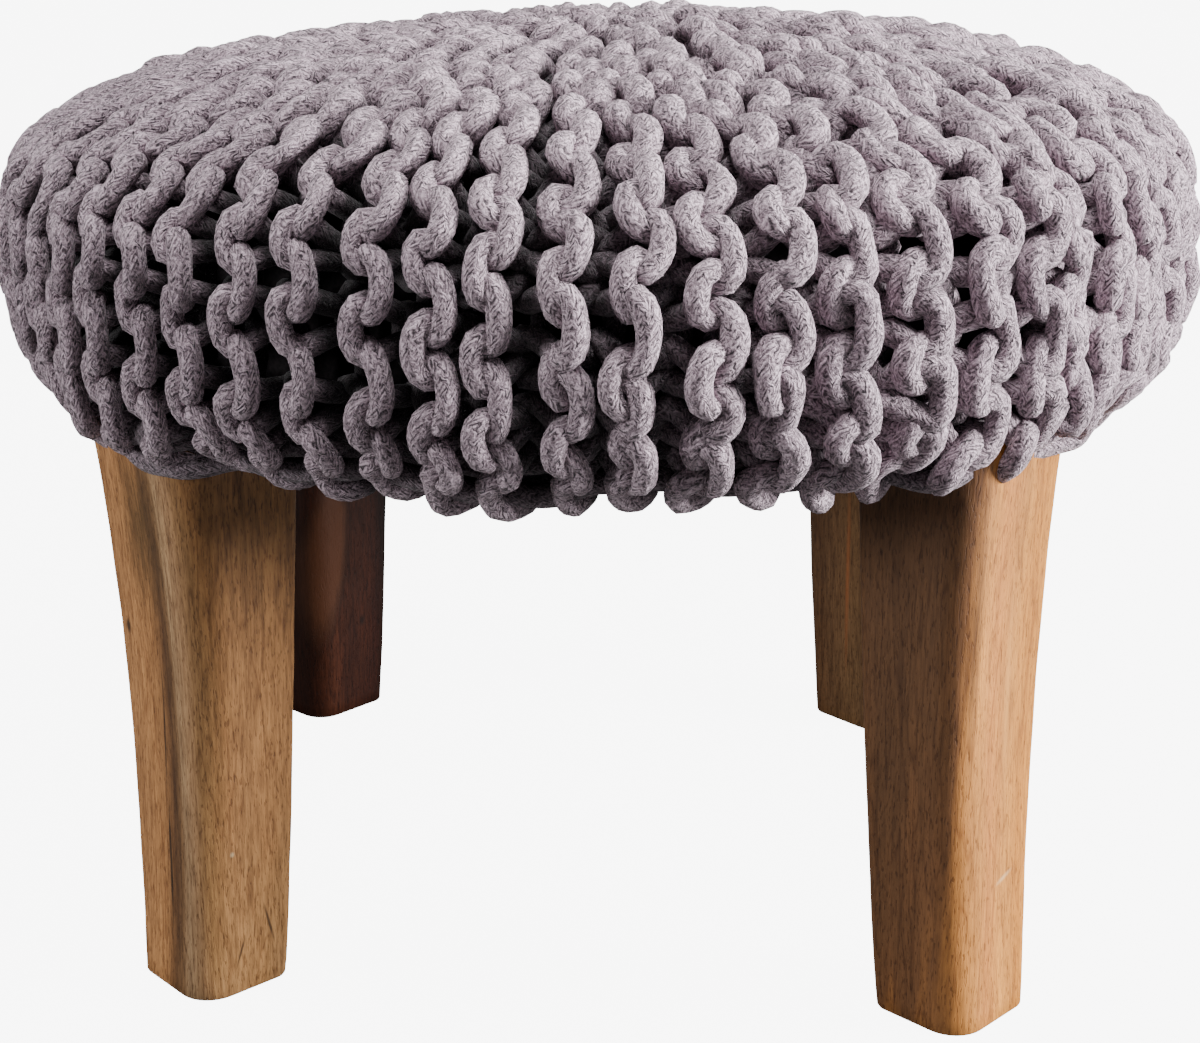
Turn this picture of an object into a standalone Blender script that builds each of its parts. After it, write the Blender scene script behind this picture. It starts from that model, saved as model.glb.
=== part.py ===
"""Knitted pouf stool: a round padded seat in a ridged, chunky-knit cover on four carved wooden legs.

Metres, +Z up. The stool stands on z = 0 with the middle of its footprint at the origin, and its
front faces -Y. The seat is one filled solid. Its cover is knitted sideways, so the ridges of the
knit run from the middle of the top, over the shoulder and down the side to the hem.
"""

import math

import bmesh
import bpy

# Seat: a flat crown, sides that swell to the widest level, and an edge that draws in underneath.
SEAT_RADIUS = 0.225
SEAT_TOP = 0.341             # height of the crown's middle
WIDEST_LEVEL = 0.254         # height at which the seat is widest
UNDERSIDE_LEVEL = 0.198      # height of the flat underside
UNDERSIDE_RADIUS = 0.165     # where the drawn-in edge has become the flat underside
CROWN_SQUARENESS = (1.67, 4.0)     # exponents of the upper curve, across and up
TUCK_SQUARENESS = (1.9, 3.4)       # exponents of the lower curve, across and down
CROWN_LEAN = 0.012           # the filling is packed a little higher towards +X, rise per metre

# Ridges of the knit.
RIDGE_COUNT = 62
RIDGE_SHAPE = (0.0, 0.30, 1.0, 0.30)   # how deep each column of one ridge lies, peak to valley
RIDGE_DEPTH_SHARE = 0.30     # valley depth as a share of the spacing between ridges
RIDGE_DEPTH_MAX = 0.0065
PROFILE_RINGS = 16           # rings between the middle of the top and the flat underside

# Legs: upright posts with eased corners that thicken and flare towards the seat.
LEG_WIDTH = 0.0407           # across, at the floor
LEG_DEPTH = 0.0384           # along the line from the stool's middle, at the floor
CORNER_STEPS = 5
FOOT_EASE = 0.0012           # small chamfer round the foot
FLARE_LEVEL = 0.200          # height at which the flares below are reached
OUTER_FACE_LEAN = -0.0116    # the outer face first runs inwards, then sweeps out
OUTER_FLARE_POWER = 2.75
INNER_FLARE_POWER = 0.8
SECTION_LEVELS = (0.030, 0.060, 0.085, 0.110, 0.130, 0.148, 0.165, 0.180, 0.195, 0.210, 0.222)
CLEARANCE = 0.0003           # gap between a leg's top and the seat

# Each leg is carved and fitted by hand, so no two are quite alike: name, x and y of the foot's
# middle, the way its outer face looks in degrees, its outer, inner and side flares, and how far each
# corner is rounded, from the left one of the outer face round by the inner face. The corner that
# looks to the stool's front is the softest.
LEGS = (
    ("leg_front_left", -0.1352, -0.1297, 225.1, 0.0121, 0.0089, 0.0094, (0.013, 0.005, 0.0065, 0.005)),
    ("leg_front_right", 0.1349, -0.1405, 318.2, 0.0089, 0.0137, 0.0057, (0.005, 0.0065, 0.005, 0.013)),
    ("leg_back_left", -0.1399, 0.1357, 140.1, 0.0100, 0.0077, 0.0070, (0.005, 0.012, 0.005, 0.0065)),
    ("leg_back_right", 0.1271, 0.1336, 44.1, 0.0100, 0.0084, 0.0075, (0.0065, 0.005, 0.012, 0.005)),
)

CORD_COLOUR = (0.305, 0.262, 0.280)
LEG_COLOURS = {
    "leg_front_left": (0.335, 0.185, 0.090),
    "leg_front_right": (0.500, 0.290, 0.140),
    "leg_back_left": (0.130, 0.050, 0.026),
    "leg_back_right": (0.190, 0.095, 0.045),
}


def clear_scene():
    for item in list(bpy.data.objects):
        bpy.data.objects.remove(item, do_unlink=True)


def make_material(name, colour, roughness):
    material = bpy.data.materials.new(name)
    material.use_nodes = True
    shader = material.node_tree.nodes["Principled BSDF"]
    shader.inputs["Base Color"].default_value = (*colour, 1.0)
    shader.inputs["Roughness"].default_value = roughness
    shader.inputs["Metallic"].default_value = 0.0
    return material


def add_object(name, mesh_builder, material):
    """Turn a finished bmesh into one named object with its material."""
    mesh = bpy.data.meshes.new(name)
    mesh_builder.to_mesh(mesh)
    mesh_builder.free()
    mesh.materials.append(material)
    mesh.shade_smooth()
    mesh.set_sharp_from_angle(angle=math.radians(40))
    item = bpy.data.objects.new(name, mesh)
    bpy.context.scene.collection.objects.link(item)
    return item


def rounded_curve(radius_in, radius_out, level_mid, level_end, squareness, steps):
    """Quarter superellipse from (radius_out, level_mid) to (radius_in, level_end)."""
    across, up = squareness
    points = []
    for step in range(steps + 1):
        angle = math.pi / 2 * step / steps
        radius = radius_in + (radius_out - radius_in) * math.cos(angle) ** (2 / across)
        level = level_mid + (level_end - level_mid) * math.sin(angle) ** (2 / up)
        points.append((radius, level))
    return points


def even_points(points, count):
    """The same line as count + 1 points at even steps along it."""
    lengths = [0.0]
    for (r0, z0), (r1, z1) in zip(points, points[1:]):
        lengths.append(lengths[-1] + math.hypot(r1 - r0, z1 - z0))
    evened = []
    index = 0
    for step in range(count + 1):
        target = lengths[-1] * step / count
        while index < len(points) - 2 and lengths[index + 1] < target:
            index += 1
        share = (target - lengths[index]) / (lengths[index + 1] - lengths[index])
        (r0, z0), (r1, z1) = points[index], points[index + 1]
        evened.append((r0 + (r1 - r0) * share, z0 + (z1 - z0) * share))
    return evened


def seat_profile():
    """Outline of the seat over the ridges' tops, from the middle of the top to the underside."""
    crown = rounded_curve(0.0, SEAT_RADIUS, WIDEST_LEVEL, SEAT_TOP, CROWN_SQUARENESS, 240)
    tuck = rounded_curve(
        UNDERSIDE_RADIUS, SEAT_RADIUS, WIDEST_LEVEL, UNDERSIDE_LEVEL, TUCK_SQUARENESS, 120)
    return even_points(crown[::-1] + tuck[1:], PROFILE_RINGS)


def profile_normals(profile):
    """Outward direction at each point of the profile."""
    normals = []
    for index in range(len(profile)):
        r0, z0 = profile[max(index - 1, 0)]
        r1, z1 = profile[min(index + 1, len(profile) - 1)]
        length = math.hypot(r1 - r0, z1 - z0)
        normals.append(((z0 - z1) / length, (r1 - r0) / length))
    return normals


def lean(x, z):
    """Height with the crown's lean, which dies out at the flat underside."""
    share = (z - UNDERSIDE_LEVEL) / (WIDEST_LEVEL - UNDERSIDE_LEVEL)
    share = max(0.0, min(1.0, share))
    return z + CROWN_LEAN * x * share


def build_seat(material):
    """One filled solid with the knit's ridges raised in its surface."""
    profile = seat_profile()
    normals = profile_normals(profile)
    columns = RIDGE_COUNT * len(RIDGE_SHAPE)
    builder = bmesh.new()
    rings = []
    for (radius, level), (out, up) in zip(profile[1:], normals[1:]):
        spacing = 2 * math.pi * radius / RIDGE_COUNT
        depth = min(RIDGE_DEPTH_SHARE * spacing, RIDGE_DEPTH_MAX)
        if level <= UNDERSIDE_LEVEL + CLEARANCE:
            depth = 0.0
        ring = []
        for column in range(columns):
            angle = 2 * math.pi * column / columns
            sink = depth * RIDGE_SHAPE[column % len(RIDGE_SHAPE)]
            reach = radius - sink * out
            height = max(level - sink * up, UNDERSIDE_LEVEL)
            x = reach * math.cos(angle)
            y = reach * math.sin(angle)
            ring.append(builder.verts.new((x, y, lean(x, height))))
        rings.append(ring)
    middle = builder.verts.new((0.0, 0.0, SEAT_TOP))
    for column in range(columns):
        following = (column + 1) % columns
        builder.faces.new((middle, rings[0][column], rings[0][following]))
        for upper, lower in zip(rings, rings[1:]):
            builder.faces.new((upper[column], lower[column], lower[following], upper[following]))
    builder.faces.new(rings[-1][::-1])
    bmesh.ops.recalc_face_normals(builder, faces=builder.faces[:])
    return add_object("knitted_seat", builder, material)


def build_seat_clearance():
    """Plain turned body a hair larger than the seat, which trims the legs' tops to its underside."""
    profile = seat_profile()
    normals = profile_normals(profile)
    builder = bmesh.new()
    outline = [(0.0, SEAT_TOP + CLEARANCE)]
    for (radius, level), (out, up) in zip(profile[1:], normals[1:]):
        outline.append((radius + 2 * CLEARANCE * out, level + 2 * CLEARANCE * up))
    outline[-1] = (outline[-1][0], UNDERSIDE_LEVEL - CLEARANCE)
    outline.append((0.0, UNDERSIDE_LEVEL - CLEARANCE))
    verts = [builder.verts.new((radius, 0.0, level)) for radius, level in outline]
    edges = [builder.edges.new(pair) for pair in zip(verts, verts[1:])]
    bmesh.ops.spin(
        builder, geom=verts + edges, cent=(0, 0, 0), axis=(0, 0, 1), dvec=(0, 0, 0),
        angle=2 * math.pi, steps=RIDGE_COUNT * len(RIDGE_SHAPE), use_merge=True, use_duplicate=False)
    bmesh.ops.remove_doubles(builder, verts=builder.verts[:], dist=1e-5)
    for vert in builder.verts:
        vert.co.z = lean(vert.co.x, vert.co.z)
    bmesh.ops.recalc_face_normals(builder, faces=builder.faces[:])
    mesh = bpy.data.meshes.new("seat_clearance")
    builder.to_mesh(mesh)
    builder.free()
    cutter = bpy.data.objects.new("seat_clearance", mesh)
    cutter.hide_render = True
    cutter.display_type = "WIRE"
    bpy.context.scene.collection.objects.link(cutter)
    return cutter


def leg_section(level, inset, outer_flare, inner_flare, side_flare, corners):
    """Rounded outline of a leg at one height: along the radius (u) and across it (v)."""
    share = level / FLARE_LEVEL
    outer = LEG_DEPTH / 2 + OUTER_FACE_LEAN * share + outer_flare * share ** OUTER_FLARE_POWER
    inner = LEG_DEPTH / 2 + inner_flare * share ** INNER_FLARE_POWER
    side = LEG_WIDTH / 2 + side_flare * share ** INNER_FLARE_POWER
    outer, inner, side = outer - inset, inner - inset, side - inset
    points = []
    for quarter, (u, v) in enumerate(((outer, side), (-inner, side), (-inner, -side), (outer, -side))):
        corner = corners[quarter] - inset
        centre_u = u - math.copysign(corner, u)
        centre_v = v - math.copysign(corner, v)
        for step in range(CORNER_STEPS + 1):
            angle = math.pi / 2 * (quarter + step / CORNER_STEPS)
            points.append((centre_u + corner * math.cos(angle), centre_v + corner * math.sin(angle)))
    return points


def build_leg(row, cutter, material):
    name, foot_x, foot_y, facing, outer_flare, inner_flare, side_flare, corners = row
    flares = (outer_flare, inner_flare, side_flare)
    sections = [(0.0, FOOT_EASE), (FOOT_EASE, 0.0)]
    sections += [(level, 0.0) for level in SECTION_LEVELS]
    builder = bmesh.new()
    loops = []
    for level, inset in sections:
        outline = leg_section(level, inset, *flares, corners)
        loops.append([builder.verts.new((u, v, level)) for u, v in outline])
    count = len(loops[0])
    for lower, upper in zip(loops, loops[1:]):
        for index in range(count):
            following = (index + 1) % count
            builder.faces.new((lower[index], lower[following], upper[following], upper[index]))
    builder.faces.new(loops[0][::-1])
    builder.faces.new(loops[-1])
    bmesh.ops.recalc_face_normals(builder, faces=builder.faces[:])
    leg = add_object(name, builder, material)
    leg.location = (foot_x, foot_y, 0.0)
    leg.rotation_euler = (0.0, 0.0, math.radians(facing))
    trim = leg.modifiers.new("trim_to_seat", "BOOLEAN")
    trim.operation = "DIFFERENCE"
    trim.solver = "EXACT"
    trim.object = cutter
    return leg


def main():
    clear_scene()
    build_seat(make_material("cotton_cord", CORD_COLOUR, 0.9))
    cutter = build_seat_clearance()
    for row in LEGS:
        build_leg(row, cutter, make_material("mango_wood_" + row[0], LEG_COLOURS[row[0]], 0.5))


main()
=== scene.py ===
# Knitted pouf stool: a round filled seat in a chunky cotton-cord cover, on four carved wooden legs.
# The looks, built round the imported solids. Metres, +Z up, the stool's front faces -Y.
import math
import random

import bmesh
import bpy
import numpy as np
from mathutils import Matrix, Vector, noise


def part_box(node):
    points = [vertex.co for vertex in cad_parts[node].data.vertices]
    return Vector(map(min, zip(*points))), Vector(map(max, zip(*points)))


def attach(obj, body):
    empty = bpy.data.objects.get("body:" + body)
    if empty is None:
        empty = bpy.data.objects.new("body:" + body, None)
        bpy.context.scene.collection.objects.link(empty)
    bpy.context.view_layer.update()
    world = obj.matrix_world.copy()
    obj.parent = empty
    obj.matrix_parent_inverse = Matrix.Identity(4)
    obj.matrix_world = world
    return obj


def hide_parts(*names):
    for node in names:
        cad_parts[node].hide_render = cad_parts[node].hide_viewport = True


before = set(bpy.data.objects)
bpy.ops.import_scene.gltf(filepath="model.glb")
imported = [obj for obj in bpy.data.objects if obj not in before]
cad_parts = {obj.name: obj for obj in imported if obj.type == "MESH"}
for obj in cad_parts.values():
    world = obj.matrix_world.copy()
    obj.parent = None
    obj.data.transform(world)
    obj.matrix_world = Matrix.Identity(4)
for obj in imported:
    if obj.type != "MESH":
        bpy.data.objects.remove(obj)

noise.seed_set(4)       # the noise vectors would differ from run to run without it

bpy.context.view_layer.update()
seatLow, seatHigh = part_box("knitted_seat")
print("frame loaded:", sorted(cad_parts))


# sRGB hex to the linear colour that a shader socket takes
def linearColour(hexCode):
    channels = [int(hexCode[start:start + 2], 16) / 255 for start in (1, 3, 5)]
    linear = [c / 12.92 if c <= 0.04045 else ((c + 0.055) / 1.055) ** 2.4 for c in channels]
    return (*linear, 1.0)


# sets a node's sockets to values, and links others from a socket or from a node's first output
def fillSockets(tree, node, values, links):
    for socket, value in (values or {}).items():
        node.inputs[socket].default_value = value
    for socket, source in (links or {}).items():
        if isinstance(source, bpy.types.Node):
            source = source.outputs[0]
        tree.links.new(source, node.inputs[socket])


# adds a shader node with its options, socket values, links and ramp stops
def addNode(tree, kind, options=None, values=None, links=None, stops=None):
    node = tree.nodes.new("ShaderNode" + kind)
    for name, value in (options or {}).items():
        setattr(node, name, value)
    fillSockets(tree, node, values, links)
    if stops:
        ramp = node.color_ramp
        while len(ramp.elements) < len(stops):
            ramp.elements.new(0.5)
        for element, (place, colour) in zip(ramp.elements, stops):
            element.position = place
            element.color = linearColour(colour) if isinstance(colour, str) else (*colour, 1.0)
    return node


multiplied = {"data_type": "RGBA", "blend_type": "MULTIPLY"}      # options of a Mix node


def newMaterial(name):
    material = bpy.data.materials.new(name)
    material.use_nodes = True
    tree = material.node_tree
    return material, tree, tree.nodes["Principled BSDF"]


def finishedMesh(builder, name):
    mesh = bpy.data.meshes.new(name)
    builder.to_mesh(mesh)
    builder.free()
    return mesh


def addPiece(name, mesh, material):
    piece = bpy.data.objects.new(name, mesh)
    bpy.context.scene.collection.objects.link(piece)
    mesh.materials.clear()
    mesh.materials.append(material)
    mesh.shade_smooth()
    return piece


def smoothStep(value):
    value = np.clip(value, 0.0, 1.0)
    return value * value * (3 - 2 * value)


# The seat's outline, as fitted to the real one.
seatForm = {
    "radius": seatHigh.x,
    "crownLevel": 0.341,
    "widestLevel": 0.254,
    "undersideLevel": seatLow.z,
    "undersideRadius": 0.165,
    "crownSquareness": (1.67, 4.0),    # exponents of the upper curve, across and up
    "tuckSquareness": (1.9, 3.4),      # exponents of the lower curve, across and down
    "tuckTurn": math.radians(47),      # where on the lower curve the knit stops following it
    "hemDrop": 0.022,                  # the last stretch hangs this far, nearly straight down
    "hemSlope": math.radians(28),      # off the plumb line
    "crownLean": 0.012,                # the filling is a little higher towards +X, rise per metre
    "crownSteps": 400,
    "tuckSteps": 120,
    "hemSteps": 20,
    "evenSteps": 600,                  # of the whole outline, once it is spaced evenly
    "normalSpan": 15,                  # even steps, about a cord's width, that a normal is averaged over
}


# quarter of a superellipse from the widest level to the end level
def quarterCurve(innerRadius, outerRadius, midLevel, endLevel, squareness, lastAngle, steps):
    across, up = squareness
    angle = np.linspace(0.0, lastAngle, steps)
    radius = innerRadius + (outerRadius - innerRadius) * np.cos(angle).clip(0) ** (2 / across)
    level = midLevel + (endLevel - midLevel) * np.sin(angle) ** (2 / up)
    return np.stack([radius, level], axis=1)


# distance from the crown's middle, radius, level and outward normal down to the hem
def seatOutline(form):
    crown = quarterCurve(0.0, form["radius"], form["widestLevel"], form["crownLevel"],
                         form["crownSquareness"], math.pi / 2, form["crownSteps"])
    tuck = quarterCurve(form["undersideRadius"], form["radius"], form["widestLevel"],
                        form["undersideLevel"], form["tuckSquareness"], form["tuckTurn"],
                        form["tuckSteps"])
    downwards = np.array([[-math.sin(form["hemSlope"]), -math.cos(form["hemSlope"])]])
    hem = tuck[-1] + np.linspace(0.0, form["hemDrop"], form["hemSteps"])[1:, None] * downwards
    points = np.concatenate([crown[::-1], tuck[1:], hem])
    steps = np.hypot(*np.diff(points, axis=0).T)
    along = np.concatenate([[0.0], np.cumsum(steps)])
    even = np.linspace(0.0, along[-1], form["evenSteps"])
    radius = np.interp(even, along, points[:, 0])
    level = np.interp(even, along, points[:, 1])
    # the normals are averaged, so that a fold in the outline doesn't pinch
    span = form["normalSpan"]
    outward, upward = (
        np.convolve(np.pad(part, span // 2, mode="edge"), np.ones(span) / span, mode="valid")
        for part in (-np.gradient(level, even), np.gradient(radius, even)))
    length = np.hypot(outward, upward)
    return even, radius, level, outward / length, upward / length


outline = seatOutline(seatForm)
hemDistance = outline[0][-1]


# place on the seat: distance down from the crown's middle, azimuth, and height above the surface
def onSeat(distance, azimuth, height):
    along, radius, level, outward, upward = outline
    reach = np.interp(distance, along, radius) + height * np.interp(distance, along, outward)
    z = np.interp(distance, along, level) + height * np.interp(distance, along, upward)
    x = reach * np.cos(azimuth)
    y = reach * np.sin(azimuth)
    share = np.clip((z - seatForm["undersideLevel"])
                    / (seatForm["widestLevel"] - seatForm["undersideLevel"]), 0.0, 1.0)
    return np.stack([x, y, z + seatForm["crownLean"] * x * share], axis=1)


# The knitted cover is garter stitch, worked sideways, so its ridges run from the middle to the hem.
# Each ridge is one closed cord: loops down its right, a hanging foot at the hem, loops up its left.
knit = {
    "ridges": 62,
    "firstAzimuth": math.radians(-89.35),
    "cordRadius": 0.00405,
    "stitchPitch": 0.0276,      # along a ridge
    "stitchSteps": 56,
    "rowSpacing": 0.0114,       # between rows at the widest level, two rows to a ridge
    "bulge": 0.0047,            # how far a loop's end passes the ridge's line, at the most
    "bulgeShare": 0.46,         # the same as a share of the row spacing
    "bulgeLean": 0.40,          # towards the stool's sides the row that faces away bulges less
    "loopSwell": 0.0057,        # loops are wide at their ends and narrow at their necks
    "longer": {-1: 0.0009, 1: -0.0016},     # loops that end at the ridge's right are the longer ones
    "depth": 0.0097,            # of the loops' ends in front of and behind the middle
    "flatTop": 0.125,           # third wave, so that a loop's end lies flat and dives at its sides
    "crownFlatTop": -0.20,      # on the crown the loops are crowded and stand up as lumps
    "leftSink": 0.0006,         # loops that end at the ridge's left sit this much deeper
    "crowdedDepth": 0.30,       # share of the depth lost where the ridges crowd together
    "wander": 0.0012,           # each ridge's own drift sideways
    "wanderRadius": 0.05,       # further in the drift grows no more in angle
    "swirl": math.radians(38),  # the gathered middle of the top is turned this far
    "swirlReach": 0.120,
    "innermost": 0.004,         # no cord comes closer to the middle of the top
    # how far from the middle each ridge in turn is worked, as short rows do
    "shortRowEnds": (0.007, 0.100, 0.050, 0.100, 0.024, 0.100, 0.050, 0.100),
    "shortRowBlend": 0.020,
    "crownEnd": 0.200,          # from here in, over the blend, a loop counts as on the crown
    "crownBlend": 0.060,
    "crownDepth": 0.18,         # share by which crown loops are deeper
    "hemRise": 0.0180,          # last loops above the outline's end
    "hemEase": 0.065,           # stretch over which loops are spaced to end at the hem
    "foot": ((0.0118, 0.0024, 0.0058), (0.0119, 0.0068, 0.0000),
             (0.0070, 0.0066, -0.0075), (-0.0010, -0.0030, -0.0105)),   # down, right, outward
    "innerTurn": ((0.0110, -0.0010, -0.0085), (0.0060, 0.0045, -0.0075)),
    "cushionedSide": math.radians(-18),     # towards here the stitches are fuller and shallower, with less painted shade between them
    "cushionedSpread": math.radians(62),
    "frontStep": 0.0030,        # between points of a cord where it shows
    "backStep": 0.0050,
    "lastTurns": {1: math.radians(50), -1: math.radians(110)},      # where a row's last loop ends
    "footSteps": 7,
    "turnSteps": 6,
    "loft": ((0.0, 0.05, 0.13, 0.18, 0.235), (0.80, 0.88, 0.98, 0.98, 0.91)),    # by distance
    "wedges": 8,                # the cover is made as this many meshes
}
# how far each ridge is from the regular one
ridgeChance = {
    "seed": 11,
    "turn": 0.7,                # degrees, either way
    "bumpPlace": 0.24,          # where a left-hand loop lies, from the middle of the top
    "bumpShift": 0.006,
    "bumpJitter": 0.001,
    "stopShift": 0.007,
    "hemShift": (-0.0075, -0.0035),
    "footSize": (0.72, 1.02),
}
# turns of the front ridges, in degrees off an even spacing
frontRidges = range(-7, 8)
frontShifts = (1.1, 0.8, 1.0, 1.2, 1.4, 0.6, -0.2, 0.0, -0.3, -0.1, -0.4, -0.2, 0.5, 1.2, 1.4)
# where a left-hand loop lies on each of those ridges, from the middle of the top
frontBumps = (0.2340, 0.2340, 0.2340, 0.2337, 0.2335, 0.2390, 0.2420, 0.2465,
              0.2470, 0.2480, 0.2490, 0.2500, 0.2510, 0.2520, 0.2530)


def ridgePlan():
    chance = random.Random(ridgeChance["seed"])
    count = knit["ridges"]
    ends = knit["shortRowEnds"]
    spacing = 2 * math.pi / count
    plan = []
    for index in range(count):
        signed = index if index <= count // 2 else index - count
        shift = math.radians(chance.uniform(-ridgeChance["turn"], ridgeChance["turn"]))
        bump = ridgeChance["bumpPlace"] + chance.uniform(-1, 1) * ridgeChance["bumpShift"]
        if signed in frontRidges:
            shift = math.radians(frontShifts[signed - frontRidges[0]])
            bump = frontBumps[signed - frontRidges[0]]
        stop = ends[index % len(ends)]
        stopShift = chance.uniform(-ridgeChance["stopShift"], ridgeChance["stopShift"])
        if index % len(ends) % 4:
            stop += stopShift           # every fourth ridge keeps its exact end
        plan.append({
            "azimuth": knit["firstAzimuth"] + index * spacing + shift,
            "bump": bump + chance.uniform(-ridgeChance["bumpJitter"], ridgeChance["bumpJitter"]),
            "stop": stop,
            "seed": chance.uniform(0, 100),
            "hemShift": chance.uniform(*ridgeChance["hemShift"]),
            "footSize": chance.uniform(*ridgeChance["footSize"]),
        })
    return plan


ridges = ridgePlan()


# turn from a ridge to the next one still being worked at each distance, side is +1 or -1;
# of any four ridges in a row one is worked to near the middle, so four are looked at
def turnToNext(index, side, distance):
    count = knit["ridges"]
    here = ridges[index]["azimuth"]
    turn = None
    for ahead in (4, 3, 2, 1):
        other = ridges[(index + side * ahead) % count]
        away = (other["azimuth"] - here) * side % (2 * math.pi)
        if turn is None:
            turn = np.full_like(distance, away)
            continue
        worked = smoothStep((distance - other["stop"]) / knit["shortRowBlend"])
        turn = turn + (away - turn) * worked
    return turn


# smooth run of random values, one for each stitch
def stitchNoise(turns, seed, strength):
    chance = random.Random(seed)
    first = int(np.floor(turns.min())) - 1
    values = np.array([chance.gauss(0, 1) for _ in range(int(turns.max()) - first + 3)])
    place = turns - first
    whole = np.floor(place).astype(int)
    part = smoothStep(place - whole)
    return strength * (values[whole] * (1 - part) + values[whole + 1] * part)


# 1 within half the spread of the cushioned side, 0 from one and a half of it on
def fullness(azimuth):
    away = abs((azimuth - knit["cushionedSide"] + math.pi) % (2 * math.pi) - math.pi)
    return float(smoothStep(1.5 - away / knit["cushionedSpread"]))


# 1 on the top of the seat, 0 down its side, by the distance from the top's middle
def onCrown(distance):
    return smoothStep((knit["crownEnd"] - distance) / knit["crownBlend"])


# Where the legs are, the knit is pushed out and the hem is drawn up.
hemForm = {
    "legHalfTurn": math.radians(7),     # either side of a leg's middle
    "legBlend": math.radians(6),
    "legPush": 0.0062,
    "legPushReach": 0.022,              # up from the hem
    "legRise": {"leg_front_left": 0.0045, "leg_front_right": 0.0065,
                "leg_back_left": 0.0020, "leg_back_right": 0.0030},
    # the hem also runs up past the right-hand front leg
    "liftTurn": math.radians(-34),
    "liftHalfTurn": math.radians(13),
    "lift": 0.0155,
    "shortFeet": 0.75,                  # feet lose up to this share of their length
    "shortFeetRise": 0.002,             # where the hem is drawn up further than this
    "shortFeetBlend": 0.008,
}
legTurns = {}
for legNode in hemForm["legRise"]:
    legLow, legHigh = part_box(legNode)
    legTurns[legNode] = math.atan2(legLow.y + legHigh.y, legLow.x + legHigh.x)


def overLeg(azimuth, name):
    away = abs((azimuth - legTurns[name] + math.pi) % (2 * math.pi) - math.pi)
    return 1 - float(smoothStep((away - hemForm["legHalfTurn"]) / hemForm["legBlend"]))


def overAnyLeg(azimuth):
    return sum(overLeg(azimuth, name) for name in legTurns)


# how far the hem is drawn up at an azimuth
def hemRiseAt(azimuth):
    away = abs(math.remainder(azimuth - hemForm["liftTurn"], 2 * math.pi))
    overLegs = sum(hemForm["legRise"][name] * overLeg(azimuth, name) for name in legTurns)
    return overLegs + hemForm["lift"] * float(smoothStep(1 - away / hemForm["liftHalfTurn"]))


# How stitches and ridges differ from the regular ones, as shares or in metres.
uneven = {
    "swell": 0.09,
    "bulge": 0.13,
    "reach": 0.0008,
    "height": 0.0007,
    "wanderWave": 42,           # radians of the sideways drift's wave for each metre
    "drift": 0.0024,            # neighbouring cords move together, as the cloth does
    "driftSize": 0.060,
    "driftOffset": Vector((4, 2, 9)),
    "crownLevel": 0.29,         # from here up, over the blend, the drift is more sideways
    "crownBlend": 0.03,
    "crownDrift": 0.6,
    "shake": 0.0014,            # and each cord a little on its own
    "shakeSize": 0.020,
    "shakeOffset": Vector((7, 3, 5)),
    "thickness": 0.12,
    "thicknessSize": 0.012,
}
# what changes on the cushioned side, as shares unless in metres
cushioned = {
    "uneven": 1.1,              # stitches differ more from each other
    "bulge": 0.2,
    "depth": -0.44,
    # less painted shade between the ridges on this side, which faces the key light
    "paintedShade": -0.74,
    "loft": 0.19,
    "shake": 0.0016,
    "shakeSize": -0.005,
    "thickness": 0.16,
}
# where a cord shows, by how far in front of the ridge's middle it lies
shown = {
    "fineFrom": -0.002,         # the route's points are closer together from here out
    "clear": 0.0068,            # free of painted shade from here out, as the loops' ends are
    "clearBlend": 0.0060,
    "plumpFrom": 0.003,         # plumper from here out
    "plumpBlend": 0.006,
    "plump": 0.04,
    "crownPlump": 0.26,         # more on the crown, where the loops show as lumps
}


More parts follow.
